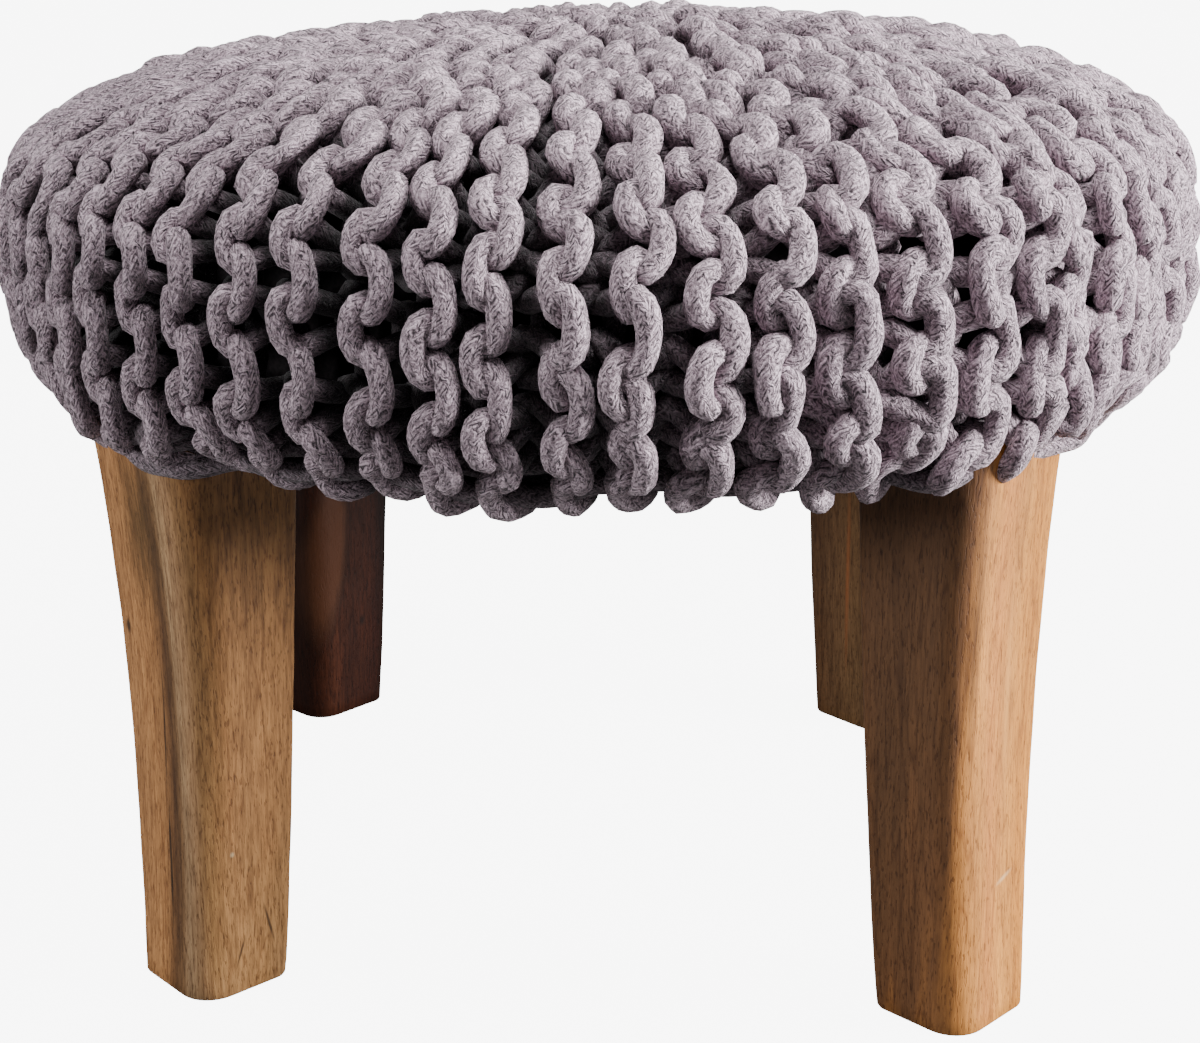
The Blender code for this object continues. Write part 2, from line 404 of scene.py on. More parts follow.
# one row of loops beside a ridge, from its inner end to the hem: distance, azimuth, height, front
# side -1 is the row whose loops end in front at the ridge's right, 1 the one that ends at its left
def rowRoute(index, side, stitches, last, shift, lastTurn):
    ridge = ridges[index]
    pitch = knit["stitchPitch"]
    firstTurn = -2 * math.pi * stitches - math.pi / 2
    steps = int((lastTurn - firstTurn) / (2 * math.pi) * knit["stitchSteps"])
    t = np.linspace(firstTurn, lastTurn, steps)
    turns = t / (2 * math.pi)
    full = fullness(ridge["azimuth"])
    rough = 1 + cushioned["uneven"] * full

    along = last + pitch * turns
    along = along + shift * smoothStep((along - last + knit["hemEase"]) / knit["hemEase"])
    swell = 1 + stitchNoise(turns, ridge["seed"] + side, uneven["swell"] * rough)
    distance = (along + knit["loopSwell"] * swell * np.sin(2 * t) + knit["longer"][side] * np.sin(t)
                + stitchNoise(turns * 2, ridge["seed"] + 5 * side, uneven["reach"] * rough))
    distance = np.maximum(distance, knit["innermost"])

    radius = np.interp(along, outline[0], outline[1])
    turn = turnToNext(index, side, along) / 2
    spacing = turn * radius
    bulge = np.minimum(knit["bulgeShare"] * spacing, knit["bulge"])
    bulge = bulge * (1 + stitchNoise(turns * 2, ridge["seed"] + 2 * side, uneven["bulge"] * rough))
    bulge = bulge * (1 + knit["bulgeLean"] * side * math.cos(ridge["azimuth"]))
    bulge = bulge * (1 + cushioned["bulge"] * full)
    drift = np.sin(along * uneven["wanderWave"] + ridge["seed"])
    wander = knit["wander"] * drift / np.maximum(radius, knit["wanderRadius"])
    swirl = knit["swirl"] * smoothStep((knit["swirlReach"] - along) / knit["swirlReach"])
    azimuth = (ridge["azimuth"] + wander + swirl
               + side * (turn / 2 - (spacing / 2 + bulge) / radius * np.cos(t)))

    # where ridges crowd together, down to a sixth of the usual spacing, the loops are shallower
    free = smoothStep(spacing / knit["rowSpacing"] * 1.2 - 0.2)
    depth = knit["depth"] * (1 - knit["crowdedDepth"] + knit["crowdedDepth"] * free)
    depth = depth * (1 + cushioned["depth"] * full) * (1 + knit["crownDepth"] * onCrown(along))
    flat = knit["flatTop"] + (knit["crownFlatTop"] - knit["flatTop"]) * onCrown(along)
    front = depth * (np.cos(t) - flat * np.cos(3 * t)) / (1 - flat)
    height = front - depth - knit["cordRadius"]
    height = height + stitchNoise(turns * 2, ridge["seed"] + 3 * side, uneven["height"] * rough)
    height = height - (knit["leftSink"] if side > 0 else 0.0)
    return np.stack([distance, azimuth, height, front], axis=1)


# smooth run through points; the first and the last only give the run its direction
def throughPoints(points, steps):
    share = np.linspace(0, 1, steps, endpoint=False)[:, None]
    runs = []
    for before, start, end, after in zip(points, points[1:], points[2:], points[3:]):
        bend = 2 * before - 5 * start + 4 * end - after + share * (3 * (start - end) + after - before)
        runs.append(start + share / 2 * (end - before + share * bend))
    return np.concatenate(runs)


# places given as down, right and outward from a spot on the ridge's line
def placesNear(offsets, distance, azimuth, acrossScale):
    radius = np.interp(distance, outline[0], outline[1])
    base = -knit["depth"] - knit["cordRadius"]
    return [np.array([distance + down, azimuth + right * acrossScale / radius, base + outward, outward])
            for down, right, outward in offsets]


# moves a point of a cord by the cloth's unevenness and by the cord's own
def shaken(place, full):
    crown = float(smoothStep((place.z - uneven["crownLevel"]) / uneven["crownBlend"]))
    drift = noise.noise_vector(place / uneven["driftSize"] + uneven["driftOffset"])
    drift.x *= 1 + uneven["crownDrift"] * crown
    drift.y *= 1 + uneven["crownDrift"] * crown
    shakeSize = uneven["shakeSize"] + cushioned["shakeSize"] * full
    shake = noise.noise_vector(place / shakeSize + uneven["shakeOffset"])
    return place + uneven["drift"] * drift + (uneven["shake"] + cushioned["shake"] * full) * shake


# the whole cord of one ridge as points, thicknesses and how much painted shade each point gets
def ridgeCord(index):
    ridge = ridges[index]
    pitch = knit["stitchPitch"]
    wanted = hemDistance - knit["hemRise"] - hemRiseAt(ridge["azimuth"]) + ridge["hemShift"]
    last = ridge["bump"] + pitch * round((wanted - ridge["bump"]) / pitch)
    stitches = int((last - ridge["stop"]) / pitch)
    left = rowRoute(index, 1, stitches, last, wanted - last, knit["lastTurns"][1])
    right = rowRoute(index, -1, stitches - 1, last - pitch / 2, wanted - last, knit["lastTurns"][-1])
    # past the right-hand front leg the feet are short, and the hem is a smoother edge
    drawnUp = (hemRiseAt(ridge["azimuth"]) - hemForm["shortFeetRise"]) / hemForm["shortFeetBlend"]
    size = ridge["footSize"] * (1 - hemForm["shortFeet"] * float(smoothStep(drawnUp)))
    foot = [(down * (size if down > 0 else 1), across, outward) for down, across, outward in knit["foot"]]
    # a point a little way back along each row gives the runs their direction
    footRun = throughPoints([left[-8], left[-1], *placesNear(foot, wanted, ridge["azimuth"], 1.0),
                             right[-1], right[-8]], knit["footSteps"])
    inner = left[0]
    innerRadius = np.interp(inner[0], outline[0], outline[1])
    narrow = min(1.0, abs(inner[1] - ridge["azimuth"]) * innerRadius * 2 / knit["rowSpacing"])
    turnRun = throughPoints([right[7], right[0],
                             *placesNear(knit["innerTurn"], inner[0], ridge["azimuth"], narrow),
                             left[0], left[7]], knit["turnSteps"])
    route = np.concatenate([left[:-1], footRun, right[::-1][:-1], turnRun])
    distance, azimuth, height, front = route.T
    push = overAnyLeg(ridge["azimuth"]) * hemForm["legPush"]
    reach = hemForm["legPushReach"]
    height = height + push * smoothStep((distance - wanted + reach) / reach)
    full = fullness(ridge["azimuth"])
    points = np.array([shaken(Vector(point), full) for point in onSeat(distance, azimuth, height)])
    closed = np.concatenate([points, points[:1]])
    fronts = np.concatenate([front, front[:1]])
    lengths = np.linalg.norm(np.diff(closed, axis=0), axis=1)
    isFront = (fronts[1:] + fronts[:-1]) / 2 > shown["fineFrom"]
    count = np.concatenate([[0.0], np.cumsum(
        lengths / np.where(isFront, knit["frontStep"], knit["backStep"]))])
    wantedCount = np.linspace(0, count[-1], int(count[-1]) + 1)[:-1]
    route = np.stack([np.interp(wantedCount, count, closed[:, axis]) for axis in range(3)], axis=1)
    out = np.interp(wantedCount, count, fronts)
    down = np.interp(wantedCount, count, np.append(distance, distance[0]))
    # painted shade: near black where the cord lies back between the ridges
    paintedShade = smoothStep((shown["clear"] - out) / shown["clearBlend"]) * (1 + cushioned["paintedShade"] * full)
    loft = np.interp(down, *knit["loft"]) + cushioned["loft"] * full
    loft = loft + ((shown["plump"] + shown["crownPlump"] * onCrown(down))
                   * smoothStep((out - shown["plumpFrom"]) / shown["plumpBlend"]))
    wobble = np.array([noise.noise(Vector(place) / uneven["thicknessSize"]) for place in route])
    wobble = (uneven["thickness"] + cushioned["thickness"] * full) * wobble
    return route, knit["cordRadius"] * loft * (1 + wobble), paintedShade


# one closed cord as a tube added to a bmesh, its UV: x round the cord, y in metres along it; a second UV
# carries the painted shade
def addCordTube(builder, route, radii, paintedShade):
    curve = bpy.data.curves.new("cord", "CURVE")
    curve.dimensions = "3D"
    curve.bevel_depth = 1.0
    curve.bevel_resolution = 3
    spline = curve.splines.new("POLY")
    spline.points.add(len(route) - 1)
    spline.points.foreach_set("co", np.column_stack([route, np.ones(len(route))]).ravel())
    spline.points.foreach_set("radius", radii)
    spline.use_cyclic_u = True
    holder = bpy.data.objects.new("cord", curve)
    mesh = bpy.data.meshes.new_from_object(holder)
    closed = np.concatenate([route, route[:1]])
    lengths = np.concatenate([[0.0], np.cumsum(np.linalg.norm(np.diff(closed, axis=0), axis=1))])
    share = np.linspace(0, 1, len(closed))
    uv = np.empty(len(mesh.loops) * 2)
    layer = mesh.uv_layers[0]
    layer.name = "cordSurface"
    layer.data.foreach_get("uv", uv)
    uv = uv.reshape(-1, 2)
    place = np.interp(uv[:, 0], share, lengths)
    # the painted shade of each point, carried by a second UV
    deep = np.interp(uv[:, 0], share, np.append(paintedShade, paintedShade[0]))
    layer.data.foreach_set("uv", np.stack([uv[:, 1], place], axis=1).ravel())
    second = mesh.uv_layers.new(name="cordDepth")
    second.data.foreach_set("uv", np.stack([deep, deep], axis=1).ravel())
    builder.from_mesh(mesh)
    bpy.data.objects.remove(holder)
    bpy.data.curves.remove(curve)
    bpy.data.meshes.remove(mesh)


# cords drawn through the hem, which show between the feet: level, depth, radius, share of painted shade,
# seed
hemCords = {
    "drawn": (-0.0185, -0.0085, 0.0038, 0.66, 1),
    "loose": (-0.0240, -0.0120, 0.0030, 0.80, 2),
    "deep": (-0.0195, -0.0160, 0.0045, 0.92, 1),
    "inner": (-0.0270, -0.0165, 0.0048, 0.95, 1),
}
# what these cords have in common; how many waves there are is given for a hem one unit in radius
hemCordForm = {
    "steps": 620,
    "seedApart": 7.3,
    "wave": 0.0062,             # up and down
    "waves": 5.0,
    "smallWaves": 14.0,
    "smallWave": 0.4,           # as a share of the wave
    "inOut": 0.004,
    "inOutWaves": 6.0,
    "drawnUp": 0.6,             # share of the feet's own rise
    "overLeg": 0.0035,          # pushed out further than the loops are
    "edgeRise": 0.012,          # where the hem rises this far, such a cord is its plain edge
    "edgeThickness": 0.15,
    "edgeShadeLoss": 0.8,           # share of its painted shade taken off there
}


def hemCord(level, depth, radius, dark, seed):
    form = hemCordForm
    turn = np.linspace(0, 2 * math.pi, form["steps"], endpoint=False)
    spots = [Vector((math.cos(a), math.sin(a), seed * form["seedApart"])) for a in turn]
    wave = np.array([noise.noise(spot * form["waves"])
                     + form["smallWave"] * noise.noise(spot * form["smallWaves"]) for spot in spots])
    inOut = np.array([noise.noise(spot * form["inOutWaves"] + Vector((0, 0, 9))) for spot in spots])
    pushed = np.array([overAnyLeg(a) for a in turn]) * (hemForm["legPush"] + form["overLeg"])
    rise = np.array([hemRiseAt(a) for a in turn])
    route = onSeat(hemDistance + level + form["wave"] * wave - form["drawnUp"] * rise, turn,
                   depth + form["inOut"] * inOut + pushed)
    # past the right-hand front leg it is the hem's own edge and lies open, so most of its painted shade is
    # taken off, as on the loops' ends
    edge = smoothStep(rise / form["edgeRise"])
    return route, radius * (1 + form["edgeThickness"] * edge), dark * (1 - form["edgeShadeLoss"] * edge)


# the cord gathered in a coil at the middle of the top, its way back hidden under it
gather = {
    "outer": 0.0150,
    "inner": 0.0030,
    "turns": 1.7,
    "tightening": 0.8,          # below 1 the coil closes in sooner
    "firstAzimuth": 0.6,
    "radius": 0.0042,
    "proud": 0.0012,
    "sunk": -0.0130,            # how far the cord's ends go down
    "bob": 0.003,
    "bobSize": 2.2,
    "steps": 60,
    "sunkSteps": 8,
}


def gatherCord():
    turn = np.linspace(0, 2 * math.pi * gather["turns"], gather["steps"])
    closed = (turn / turn[-1]) ** gather["tightening"]
    reach = gather["outer"] + (gather["inner"] - gather["outer"]) * closed
    bob = np.array([noise.noise(Vector((math.cos(a), math.sin(a), a / 3)) * gather["bobSize"])
                    for a in turn])
    height = -gather["radius"] + gather["proud"] + gather["bob"] * bob
    height[:gather["sunkSteps"]] += np.linspace(gather["sunk"], 0, gather["sunkSteps"])
    coil = onSeat(reach, turn + gather["firstAzimuth"], height)
    start = Vector(coil[0])
    end = Vector(coil[-1])
    under = []
    for share in np.linspace(0.1, 0.9, gather["sunkSteps"]):
        dive = math.sin(math.pi * min(1, share * 2 + 0.1) / 2) * (1 - share)
        under.append(tuple(end.lerp(start, share) + Vector((0, 0, gather["sunk"] * dive))))
    route = np.concatenate([coil, np.array(under)])
    return route, np.full(len(route), gather["radius"]), np.zeros(len(route))


def buildCover(material):
    pieces = []
    count = knit["ridges"]
    for wedge in range(knit["wedges"]):
        builder = bmesh.new()
        first = count * wedge // knit["wedges"]
        last = count * (wedge + 1) // knit["wedges"]
        for index in range(first, last):
            addCordTube(builder, *ridgeCord(index))
        if wedge == 0:
            for row in hemCords.values():
                addCordTube(builder, *hemCord(*row))
            addCordTube(builder, *gatherCord())
        name = f"knit_wedge_{wedge + 1}"
        pieces.append(addPiece(name, finishedMesh(builder, name), material))
        print(name, "faces", len(pieces[-1].data.polygons))
    return pieces


# Cotton cord: soft tubular-knit cotton, matt and a little fuzzy, with small V-shaped stitches.
cottonCord = {
    "tones": ((0.67, "#3f353b"), (0.84, "#a5919b"), (1.0, "#e9d1de")),      # by height
    "paintedShade": "#2b2528",        # painted shade, near black, for the loops between the ridges where little light reaches
    "around": 13,               # wales round the cord
    "stitch": 0.0017,           # one V along the cord, drawn a little larger than life so it shows
    "slant": 1.6,               # how far a V's arms run along the cord, in stitches
    "loose": 2.4,               # lumps in the cord shift its stitches along by this many stitches
    "twist": 2.6,               # and round it by this many wales
    "plies": 1.15,              # light and dark plies, nearly one to a stitch
    "strand": 0.060,            # what the Vs add to the height of the plies
    "fibre": 0.70,
    "fibres": 1050.0,           # noise cells to a metre: 1 mm, coarser than cotton so that it shows
    "lumps": 230.0,             # about 4 mm, half the cord's width
    "patches": 26.0,            # about 40 mm
    "patchTones": ((0.3, (0.80, 0.79, 0.80)), (0.7, (1.0, 1.0, 1.0))),      # times the tone
    "relief": 0.0013,
    "roughness": 0.92,
    "specular": 0.25,
    "sheen": 0.20,
    "sheenRoughness": 0.5,
}


def cottonCordMaterial():
    look = cottonCord
    material, tree, shader = newMaterial("cotton_cord_mauve_grey")
    uv = addNode(tree, "UVMap", {"uv_map": "cordSurface"})
    depth = addNode(tree, "UVMap", {"uv_map": "cordDepth"})
    split = addNode(tree, "SeparateXYZ", links={0: uv})
    deep = addNode(tree, "SeparateXYZ", links={0: depth})
    place = {"Vector": addNode(tree, "TexCoord").outputs["Object"]}
    fibre = addNode(tree, "TexNoise", values={"Scale": look["fibres"], "Detail": 3.0, "Roughness": 0.7},
                    links=place)
    lump = addNode(tree, "TexNoise", values={"Scale": look["lumps"], "Detail": 3.0}, links=place)
    patch = addNode(tree, "TexNoise", values={"Scale": look["patches"], "Detail": 2.0}, links=place)
    # the two slants of a V come from folding the way round the cord, once for each wale
    straightWale = addNode(tree, "Math", {"operation": "MULTIPLY"}, {1: float(look["around"])},
                           {0: split.outputs["X"]})
    wale = addNode(tree, "Math", {"operation": "MULTIPLY_ADD"}, {1: look["twist"]},
                   {0: lump, 2: straightWale})
    slant = addNode(tree, "Math", {"operation": "PINGPONG"}, {1: 1.0}, {0: wale})
    along = addNode(tree, "Math", {"operation": "DIVIDE"}, {1: look["stitch"]}, {0: split.outputs["Y"]})
    chevron = addNode(tree, "Math", {"operation": "MULTIPLY_ADD"}, {1: look["slant"]},
                      {0: slant, 2: along})
    loose = addNode(tree, "Math", {"operation": "MULTIPLY_ADD"}, {1: look["loose"]},
                    {0: lump, 2: chevron})
    plyPlace = addNode(tree, "CombineXYZ", links={0: wale, 1: loose})
    ply = addNode(tree, "TexNoise", values={"Scale": look["plies"], "Detail": 2.0, "Roughness": 0.7},
                  links={"Vector": plyPlace})
    angle = addNode(tree, "Math", {"operation": "MULTIPLY"}, {1: 2 * math.pi}, {0: loose})
    wave = addNode(tree, "Math", {"operation": "SINE"}, links={0: angle})
    strand = addNode(tree, "Math", {"operation": "MULTIPLY_ADD"}, {1: look["strand"]},
                     {0: wave, 2: ply})
    height = addNode(tree, "Math", {"operation": "MULTIPLY_ADD"}, {1: look["fibre"]},
                     {0: fibre, 2: strand})
    tone = addNode(tree, "ValToRGB", links={0: height}, stops=look["tones"])
    shade = addNode(tree, "ValToRGB", links={0: patch}, stops=look["patchTones"])
    colour = addNode(tree, "Mix", multiplied, {0: 1.0}, {6: tone, 7: shade})
    # painted shade: the colour is multiplied towards near black by the share carried in the second UV
    sunk = addNode(tree, "Mix", multiplied, {7: linearColour(look["paintedShade"])},
                   {0: deep.outputs["X"], 6: colour.outputs[2]})
    bump = addNode(tree, "Bump", values={"Strength": 1.0, "Distance": look["relief"]},
                   links={"Height": height})
    fillSockets(tree, shader, {
        "Roughness": look["roughness"], "Specular IOR Level": look["specular"],
        "Sheen Weight": look["sheen"], "Sheen Roughness": look["sheenRoughness"],
    }, {"Base Color": sunk.outputs[2], "Normal": bump})
    return material


# The filling, which shows between the ridges; its near-black colour is painted shade for the gaps.
filling = {
    "radius": 0.195,
    "crownLevel": 0.311,
    "widestLevel": 0.248,
    "undersideLevel": 0.1975,
    "undersideRadius": 0.172,
    "squareness": (1.9, 3.0),
    "upperSteps": 24,
    "lowerSteps": 12,
    "turnSteps": 96,
    "voxel": 0.0065,
    "pressure": 4.0,
    "frames": 20,
    "mostSwell": 0.006,
}


def buildFilling(material):
    upper = quarterCurve(0.0, filling["radius"], filling["widestLevel"], filling["crownLevel"],
                         filling["squareness"], math.pi / 2, filling["upperSteps"])
    lower = quarterCurve(filling["undersideRadius"], filling["radius"], filling["widestLevel"],
                         filling["undersideLevel"], filling["squareness"], math.pi / 2,
                         filling["lowerSteps"])
    section = [*upper[::-1], *lower[1:], (0.0, filling["undersideLevel"])]
    builder = bmesh.new()
    verts = [builder.verts.new((radius, 0.0, level)) for radius, level in section]
    edges = [builder.edges.new(pair) for pair in zip(verts, verts[1:])]
    bmesh.ops.spin(builder, geom=verts + edges, cent=(0, 0, 0), axis=(0, 0, 1),
                   angle=2 * math.pi, steps=filling["turnSteps"], use_merge=True,
                   use_duplicate=False)
    bmesh.ops.remove_doubles(builder, verts=builder.verts[:], dist=1e-5)
    bmesh.ops.recalc_face_normals(builder, faces=builder.faces[:])
    piece = addPiece("seat_filling", finishedMesh(builder, "seat_filling"), material)
    remesh = piece.modifiers.new("remesh", "REMESH")
    remesh.mode = "VOXEL"
    remesh.voxel_size = filling["voxel"]
    applyModifiers(piece)
    swell(piece)
    smooth = piece.modifiers.new("smooth", "SUBSURF")
    smooth.levels = 1
    smooth.render_levels = 1
    return piece


def applyModifiers(piece):
    evaluated = piece.evaluated_get(bpy.context.evaluated_depsgraph_get())
    mesh = bpy.data.meshes.new_from_object(evaluated)
    old = piece.data
    piece.modifiers.clear()
    piece.data = mesh
    bpy.data.meshes.remove(old)
    mesh.shade_smooth()


# a short cloth simulation under pressure, then each point is held within a few millimetres
def swell(piece):
    before = np.array([vert.co for vert in piece.data.vertices])
    cloth = piece.modifiers.new("cloth", "CLOTH")
    cloth.settings.use_pressure = True
    cloth.settings.uniform_pressure_force = filling["pressure"]
    cloth.settings.effector_weights.gravity = 0.0
    cloth.point_cache.frame_start = 1
    cloth.point_cache.frame_end = filling["frames"]
    for number in range(1, filling["frames"] + 1):
        bpy.context.scene.frame_set(number)
    applyModifiers(piece)
    bpy.context.scene.frame_set(1)
    after = np.array([vert.co for vert in piece.data.vertices])
    move = after - before
    size = np.linalg.norm(move, axis=1, keepdims=True)
    move = move * np.minimum(1.0, filling["mostSwell"] / np.maximum(size, 1e-9))
    settled = before + move
    settled[:, 2] = np.maximum(settled[:, 2], filling["undersideLevel"])
    piece.data.vertices.foreach_set("co", settled.ravel())
    piece.data.update()
    print("filling swelled, most", round(float(size.max()) * 1000, 1), "mm")


# Ticking: plain-woven cotton over the filling, its near-black colour a painted shade that drinks the light
# getting between the cords.
ticking = {
    "tones": ((0.35, "#151214"), (0.65, "#241f21")),
    "weave": 700.0,             # noise cells to a metre, 1.4 mm, coarser than its threads
    "relief": 0.0004,
    "roughness": 0.95,
    "specular": 0.2,
}


def tickingMaterial():
    material, tree, shader = newMaterial("cotton_ticking_painted_shade")
    place = addNode(tree, "TexCoord")
    weave = addNode(tree, "TexNoise", values={"Scale": ticking["weave"], "Detail": 2.0},
                    links={"Vector": place.outputs["Object"]})
    tone = addNode(tree, "ValToRGB", links={0: weave}, stops=ticking["tones"])
    bump = addNode(tree, "Bump", values={"Strength": 0.5, "Distance": ticking["relief"]},
                   links={"Height": weave})
    fillSockets(tree, shader, {
        "Roughness": ticking["roughness"], "Specular IOR Level": ticking["specular"],
    }, {"Base Color": tone, "Normal": bump})
    return material


# The four carved legs, flared towards the seat.
legForm = {
    "width": 0.0407,
    "depth": 0.0384,
    "cornerSteps": 8,
    "faceSteps": 6,
    "footEase": 0.0014,         # the foot's eased edge
    "footRound": 0.35,          # share of the ease at the point between its two bevels
    "flareLevel": 0.200,        # where the flares reach their full size
    "outerLean": -0.0116,       # the outer face leans in before it flares out
    "outerPower": 2.75,
    "innerPower": 0.8,
    "topLevel": 0.236,
    "levels": 44,
    # hand carving leaves the faces a little uneven: size, then waves per metre across and up
    "unevenness": ((0.0004, 45, 16), (0.00022, 120, 60)),
    "sharpAngle": math.radians(50),
    "seatSteps": 90,
    "clearance": 0.0006,
    # how far each leg runs on into the knit
    "hiddenRise": {"leg_front_left": 0.003, "leg_front_right": 0.009,
                   "leg_back_left": 0.003, "leg_back_right": 0.003},
}
# place of the foot, the way its outer face looks, then outer, inner and side flares
legs = {
    "leg_front_left": (-0.1352, -0.1297, 225.1, 0.0121, 0.0089, 0.0094),
    "leg_front_right": (0.1349, -0.1405, 318.2, 0.0089, 0.0137, 0.0057),
    "leg_back_left": (-0.1399, 0.1357, 140.1, 0.0100, 0.0077, 0.0070),
    "leg_back_right": (0.1271, 0.1336, 44.1, 0.0100, 0.0084, 0.0075),
}
# rounding of each corner, from the left one of the outer face; the one at the front is the softest
legCorners = {
    "leg_front_left": (0.013, 0.005, 0.0065, 0.005),
    "leg_front_right": (0.005, 0.0065, 0.005, 0.013),
    "leg_back_left": (0.005, 0.012, 0.005, 0.0065),
    "leg_back_right": (0.0065, 0.005, 0.012, 0.005),
}


# rounded section of a leg at one level, counter-clockwise
def legSection(level, inset, flares, rounding):
    share = level / legForm["flareLevel"]
    outer = (legForm["depth"] / 2 + legForm["outerLean"] * share
             + flares[0] * share ** legForm["outerPower"])
    inner = legForm["depth"] / 2 + flares[1] * share ** legForm["innerPower"]
    side = legForm["width"] / 2 + flares[2] * share ** legForm["innerPower"]
    outer, inner, side = outer - inset, inner - inset, side - inset
    corners = ((outer, side), (-inner, side), (-inner, -side), (outer, -side))
    arcs = []
    for quarter, (u, v) in enumerate(corners):
        radius = rounding[quarter] - inset
        centre = Vector((u - math.copysign(radius, u), v - math.copysign(radius, v)))
        angles = [math.pi / 2 * (quarter + step / legForm["cornerSteps"])
                  for step in range(legForm["cornerSteps"] + 1)]
        arcs.append([centre + radius * Vector((math.cos(angle), math.sin(angle))) for angle in angles])
    points = []
    for arc, following in zip(arcs, arcs[1:] + arcs[:1]):
        points += arc
        points += [arc[-1].lerp(following[0], step / legForm["faceSteps"])
                   for step in range(1, legForm["faceSteps"])]
    return points


def buildLeg(name, row, material):
    footX, footY, facing, *flares = row
    turn = math.radians(facing)
    ease = legForm["footEase"]
    halfEase = ease * legForm["footRound"]
    spacing = (legForm["topLevel"] - ease) / legForm["levels"]
    levels = [(0.0, ease), (halfEase, halfEase)]
    levels += [(ease + spacing * step, 0.0) for step in range(legForm["levels"] + 1)]
    builder = bmesh.new()
    outlineStart = legSection(*levels[0], flares, legCorners[name])
    ring = bmesh.ops.create_circle(builder, segments=len(outlineStart), radius=0.02)["verts"]
    for vert, point in zip(ring, outlineStart):
        vert.co = (point.x, point.y, 0.0)
    edges = builder.edges[:]
    bmesh.ops.contextual_create(builder, geom=edges)
    for level, inset in levels[1:]:
        grown = bmesh.ops.extrude_edge_only(builder, edges=edges)["geom"]
        edges = [item for item in grown if isinstance(item, bmesh.types.BMEdge)]
        fresh = {item for item in grown if isinstance(item, bmesh.types.BMVert)}
        ring = [next(edge.other_vert(vert) for edge in vert.link_edges
                     if edge.other_vert(vert) in fresh) for vert in ring]
        for vert, point in zip(ring, legSection(level, inset, flares, legCorners[name])):
            vert.co = (point.x, point.y, level)
    bmesh.ops.contextual_create(builder, geom=edges)
    for vert in builder.verts:
        away = Vector((vert.co.x, vert.co.y, 0.0))
        rough = sum(size * noise.noise(Vector((vert.co.x * across, vert.co.y * across,
                                               vert.co.z * up + facing)))
                    for size, across, up in legForm["unevenness"])
        if vert.co.z > ease:
            vert.co += away.normalized() * rough
        x = vert.co.x * math.cos(turn) - vert.co.y * math.sin(turn)
        y = vert.co.x * math.sin(turn) + vert.co.y * math.cos(turn)
        vert.co.x, vert.co.y = x + footX, y + footY
        vert.co.z = min(vert.co.z, seatAbove(vert.co) + legForm["hiddenRise"][name])
    bmesh.ops.recalc_face_normals(builder, faces=builder.faces[:])
    piece = addPiece(name + "_carved", finishedMesh(builder, name + "_carved"), material)
    piece.data.set_sharp_from_angle(angle=legForm["sharpAngle"])
    return piece


# level of the seat's lower side above a point, less a small clearance
def seatAbove(point):
    radius = math.hypot(point.x, point.y)
    lower = quarterCurve(seatForm["undersideRadius"], seatForm["radius"], seatForm["widestLevel"],
                         seatForm["undersideLevel"], seatForm["tuckSquareness"], math.pi / 2,
                         legForm["seatSteps"])
    level = float(np.interp(radius, lower[::-1, 0], lower[::-1, 1]))
    return level - legForm["clearance"]


# Mango wood, carved and waxed: long fibres, short open pores, and colour that drifts from honey
# to dark brown across a leg, with a low sheen on the eased corners.
mangoWood = {
    "along": 0.08,              # the figure is drawn out along the leg, to one over this
    "span": 0.050,              # the tones across a leg are spread over this width
    "wander": 0.012,            # and their borders wander within this
    "clouds": 70.0,             # noise cells to a metre: 14 mm
    "cloudTones": ((0.32, (0.70, 0.68, 0.66)), (0.66, (1.16, 1.15, 1.12))),     # times the tone
    "fibres": 800.0,            # 1.2 mm, coarser than the wood's own so that they show
    "fibreTones": ((0.36, (0.50, 0.44, 0.38)), (0.62, (1.14, 1.11, 1.06))),
    "lines": 95.0,              # growth lines follow the levels of a noise of 10 mm
    "lineStep": 0.06,           # half the way from one level to the next
    "lineWidth": 0.014,
    "lineStrength": 0.55,
    "lineTone": (0.45, 0.36, 0.30, 1.0),
    "pores": 1700.0,            # 0.6 mm
    "poreAlong": 0.17,
    "poreLevels": (0.34, 0.40),
    "poreStrength": 0.60,
    "poreTone": (0.30, 0.22, 0.16, 1.0),
    "markEdge": 1.25,           # of a mark, in its half sizes, with the fibres added
    "markFibre": 0.5,
    "markStrength": 0.85,
    "relief": 0.0004,
    "reliefStrength": 0.55,
    "roughness": 0.55,
}
